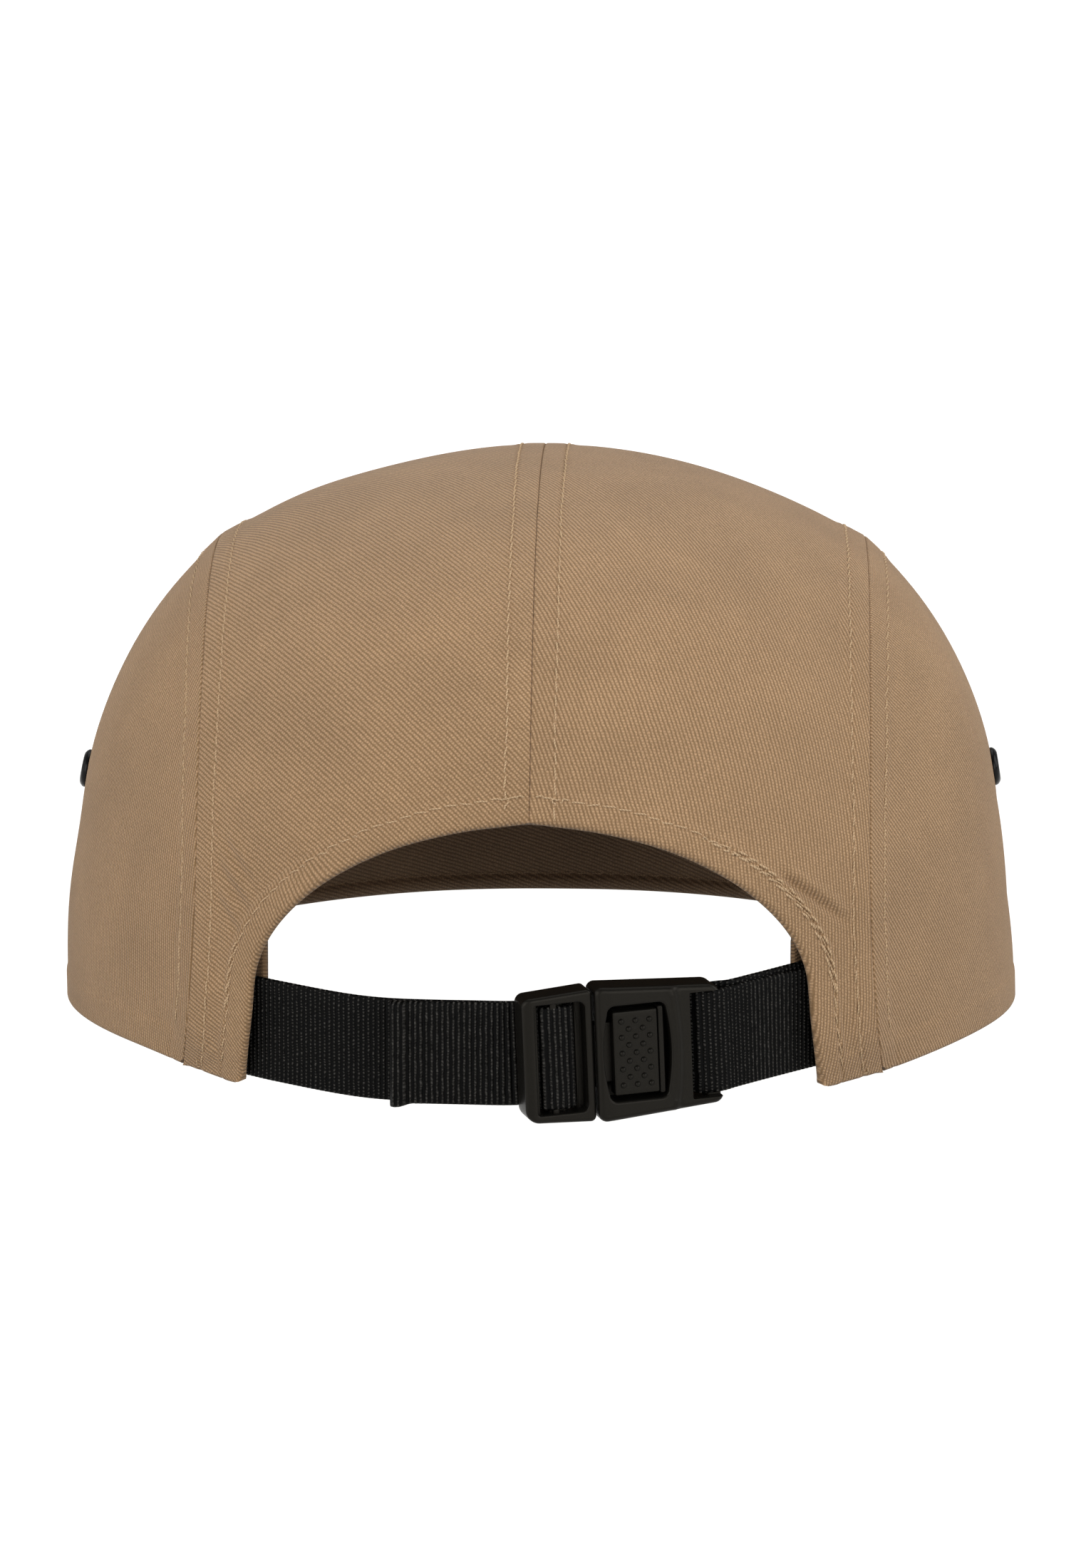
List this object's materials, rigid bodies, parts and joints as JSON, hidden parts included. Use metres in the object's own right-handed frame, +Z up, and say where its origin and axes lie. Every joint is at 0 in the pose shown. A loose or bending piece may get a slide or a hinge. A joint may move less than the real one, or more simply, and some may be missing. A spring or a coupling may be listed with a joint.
{
  "type": "jockey cap",
  "caption": "Five-panel jockey cap of cotton twill with a flat peak, an arched back opening and a webbing strap with a press buckle.",
  "frame": {"origin": "middle of the footprint on the floor, under the crown just in front of its centre", "axes": "+Z up, the peak points along -Y, the buckle is at +Y, and +X is the wearer's left"},
  "size_m": [0.18, 0.2682, 0.1037],
  "materials": {
    "khaki_twill": "washed cotton twill with tone-on-tone stitching",
    "sweatband_twill": "cotton twill tape",
    "black_webbing": "ribbed nylon webbing",
    "black_plastic": "moulded acetal with a fine satin texture",
    "black_enamel": "gloss black enamel on pressed metal"
  },
  "bodies": {
    "cap": {"front_panel": "khaki_twill", "top_panel_left": "khaki_twill", "top_panel_right": "khaki_twill", "side_panel_left": "khaki_twill", "side_panel_right": "khaki_twill", "sweatband": "sweatband_twill", "peak": "khaki_twill", "eyelet_left": "black_enamel", "eyelet_right": "black_enamel", "strap_left": "black_webbing", "strap_right": "black_webbing", "buckle_adjuster": "black_plastic", "buckle_body": "black_plastic"},
    "button": {"buckle_button": "black_plastic"}
  },
  "joints": [
    {"name": "button_press", "type": "hinge", "parent": "cap", "child": "button", "pos_m": [-0.01247, 0.12794, 0.01328], "axis": [0.0402, 0.0119, 0.9991], "range_deg": [0, 6.5], "stiffness_Nm_per_rad": 0.3, "springref_deg": -5.73}
  ]
}
